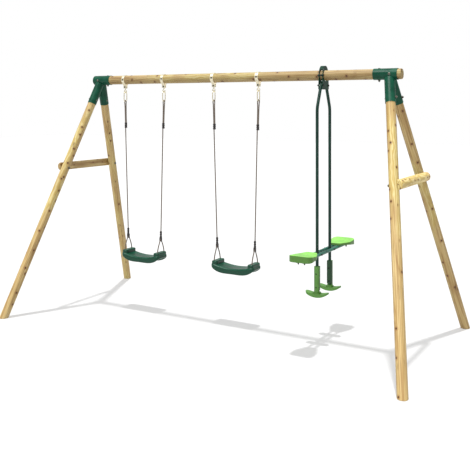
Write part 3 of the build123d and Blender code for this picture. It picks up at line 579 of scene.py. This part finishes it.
class SWINGSET_OT_ropes(bpy.types.Operator):
    """Lay every rope on its own line, and give it its braid"""

    bl_idname = "swingset.ropes"
    bl_label = "Ropes"

    def execute(self, context):
        thickness = context.scene.swingset_rope.thickness
        for swing, middle in SWINGS.items():
            for side_name, side in SIDES:
                foot = rope_line(middle, side, ADJUSTER_LOW)
                crown = rope_line(middle, side, STRANDS_PART)
                bow = rope_line(middle, side, HOOK_BOTTOM)
                low = rope_line(middle, side, ROPE_LOW)
                lines = [low, foot, crown, bow, bow, bow, bow, crown, foot]
                route = [(x + off, 0.0, z) for x, (off, z) in zip(lines, MAIN_ROUTE)]
                self.lay(f"{swing}_rope_{side_name}", route, thickness, swing)
                x = middle + side * SEAT_SPREAD
                route = [(x, y, z) for y, z in SEAT_ROUTE]
                self.lay(f"{swing}_seat_rope_{side_name}", route, thickness, f"{swing}_seat_body")
        return {"FINISHED"}

    def lay(self, node, route, thickness, body):
        curve = rope_curve(f"{node}_braided", route, thickness)
        points = line_of(curve)
        length = length_of(points)
        pick(curve)
        bpy.ops.object.convert(target="MESH")
        mesh = context_object()
        mesh.data.materials.clear()
        mesh.data.materials.append(braid(f"braid_{node}", length))
        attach(mesh, body)
        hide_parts(node)


def context_object():
    return bpy.context.view_layer.objects.active


class SWINGSET_OT_clamps(bpy.types.Operator):
    """Black moulded clamps and the knots under the seats"""

    bl_idname = "swingset.clamps"
    bl_label = "Rope clamps and knots"

    def execute(self, context):
        black = moulded("black_nylon", context.scene.swingset_plastic.black, 0.42, 0.5, 0.0)
        for swing in SWINGS:
            finish_node(f"{swing}_adjusters", black)
            finish_node(f"{swing}_junctions", black)
            self.tie(swing)
        return {"FINISHED"}

    def tie(self, swing):
        """Four overhand knots, drawn up tight against the seat from below."""
        thickness = bpy.context.scene.swingset_rope.thickness
        middle = SWINGS[swing]
        tied = []
        for _, side in SIDES:
            for face in (-1, 1):
                centre = Vector((middle + side * SEAT_SPREAD, face * HOLE_SPREAD, KNOT_HEIGHT))
                route = []
                for k in range(KNOT_POINTS):
                    turn = math.tau * k / KNOT_POINTS
                    out = KNOT_RADIUS + KNOT_SWAY * math.cos(3 * turn)
                    rise = KNOT_RISE * math.sin(3 * turn)
                    route.append(centre + Vector((out * math.cos(2 * turn), out * math.sin(2 * turn), rise)))
                knot = rope_curve(f"{swing}_knot", route, thickness * KNOT_SQUEEZE, closed=True)
                pick(knot)
                bpy.ops.object.convert(target="MESH")
                tied.append(context_object())
        knots = join(tied, f"{swing}_tied_knots")
        knots.data.materials.clear()
        knots.data.materials.append(braid(f"braid_{swing}_knots", KNOT_ROPE))
        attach(knots, f"{swing}_seat_body")
        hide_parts(f"{swing}_knots")


class SWINGSET_OT_mouldings(bpy.types.Operator):
    """Colour the moulded seats and footrests"""

    bl_idname = "swingset.mouldings"
    bl_label = "Seats and footrests"

    def execute(self, context):
        plastic = context.scene.swingset_plastic
        # the last number of the seats' materials sets the painted shade on their upright walls
        green = moulded("polyethylene_green", plastic.swing_seat, 0.3, 0.35, 0.03, 0.7)
        lime = moulded("polyethylene_lime", plastic.glider_seat, 0.42, 0.3, 0.08, 0.36)
        leaf = moulded("polyethylene_leaf", "#4c7a34", 0.42, 0.3, 0.08)
        dark = moulded("polyethylene_forest", "#193a20", 0.4, 0.3, 0.04)
        for swing in SWINGS:
            finish_node(f"{swing}_seat", green)
        for face in FACES:
            finish_node(f"glider_seat_{face}", lime)
            finish_node(f"footrest_outer_{face}", leaf)
            finish_node(f"footrest_inner_{face}", dark)
        return {"FINISHED"}


class SWINGSET_OT_stage(bpy.types.Operator):
    """Floor, light and camera"""

    bl_idname = "swingset.stage"
    bl_label = "Stage"

    def execute(self, context):
        scene = context.scene
        deselect()
        bpy.ops.mesh.primitive_grid_add(
            x_subdivisions=4, y_subdivisions=4, size=FLOOR_SIZE, location=(0, 0, -FLOOR_DROP)
        )
        floor = name_it(bpy.context.object, "studio_floor")
        settle(floor)
        material, tree, shader = start_material("studio_floor_paint", Roughness=0.9)
        paint = ramp(tree, noise(tree, own_place(tree), 0.8), ((0.3, "#bababa"), (0.7, "#bcbcbc")))
        tree.links.new(paint, shader.inputs["Base Color"])
        floor.data.materials.append(material)

        # a wide key light from high in front, and a small one overhead for the faint shadow
        for name, strength, spread, aim, shadow in LIGHTS:
            light = bpy.data.lights.new(name, "SUN")
            light.energy, light.angle, light.use_shadow = strength, math.radians(spread), shadow
            lamp = bpy.data.objects.new(name, light)
            lamp.rotation_euler = Vector(aim).to_track_quat("-Z", "Y").to_euler()
            scene.collection.objects.link(lamp)
        # the backdrop is white, and gives a little less light than it shows
        world = bpy.data.worlds.new("white_studio")
        world.use_nodes = True
        sky = world.node_tree
        seen = add(sky, "ShaderNodeLightPath").outputs["Is Camera Ray"]
        links = {"Value": seen, "To Min": BACKDROP_GIVEN, "To Max": BACKDROP_SEEN}
        strength = add(sky, "ShaderNodeMapRange", links).outputs[0]
        sky.nodes["Background"].inputs["Color"].default_value = (1, 1, 1, 1)
        sky.links.new(strength, sky.nodes["Background"].inputs["Strength"])
        scene.world = world
        scene.view_settings.view_transform = "Standard"

        lens = bpy.data.cameras.new("camera")
        lens.lens, lens.sensor_width, lens.shift_y = LENS, SENSOR, LENS_SHIFT
        lens.clip_end = FARTHEST
        camera = bpy.data.objects.new("camera", lens)
        camera.location = CAMERA_PLACE
        camera.rotation_euler = (math.radians(90), 0, math.radians(CAMERA_HEADING))
        scene.collection.objects.link(camera)
        scene.camera = camera
        return {"FINISHED"}


class SWINGSET_PT_panel(bpy.types.Panel):
    bl_idname = "SWINGSET_PT_panel"
    bl_label = "Swing set"
    bl_space_type = "VIEW_3D"
    bl_region_type = "UI"
    bl_category = "Swing set"

    def draw(self, context):
        for name, group in GROUPS.items():
            for key in group.__annotations__:
                self.layout.prop(getattr(context.scene, name), key)
        for operator in OPERATORS:
            self.layout.operator(operator.bl_idname)


OPERATORS = (
    SWINGSET_OT_timber,
    SWINGSET_OT_steel,
    SWINGSET_OT_ropes,
    SWINGSET_OT_clamps,
    SWINGSET_OT_mouldings,
    SWINGSET_OT_stage,
)


def register():
    for name, group in GROUPS.items():
        bpy.utils.register_class(group)
        setattr(bpy.types.Scene, name, bpy.props.PointerProperty(type=group))
    for operator in OPERATORS:
        bpy.utils.register_class(operator)
    bpy.utils.register_class(SWINGSET_PT_panel)


def unregister():
    bpy.utils.unregister_class(SWINGSET_PT_panel)
    for operator in reversed(OPERATORS):
        bpy.utils.unregister_class(operator)
    for name, group in reversed(GROUPS.items()):
        delattr(bpy.types.Scene, name)
        bpy.utils.unregister_class(group)


def main():
    register()
    bpy.ops.swingset.timber()
    bpy.ops.swingset.steel()
    bpy.ops.swingset.ropes()
    bpy.ops.swingset.clamps()
    bpy.ops.swingset.mouldings()
    bpy.ops.swingset.stage()


if __name__ == "__main__":
    main()
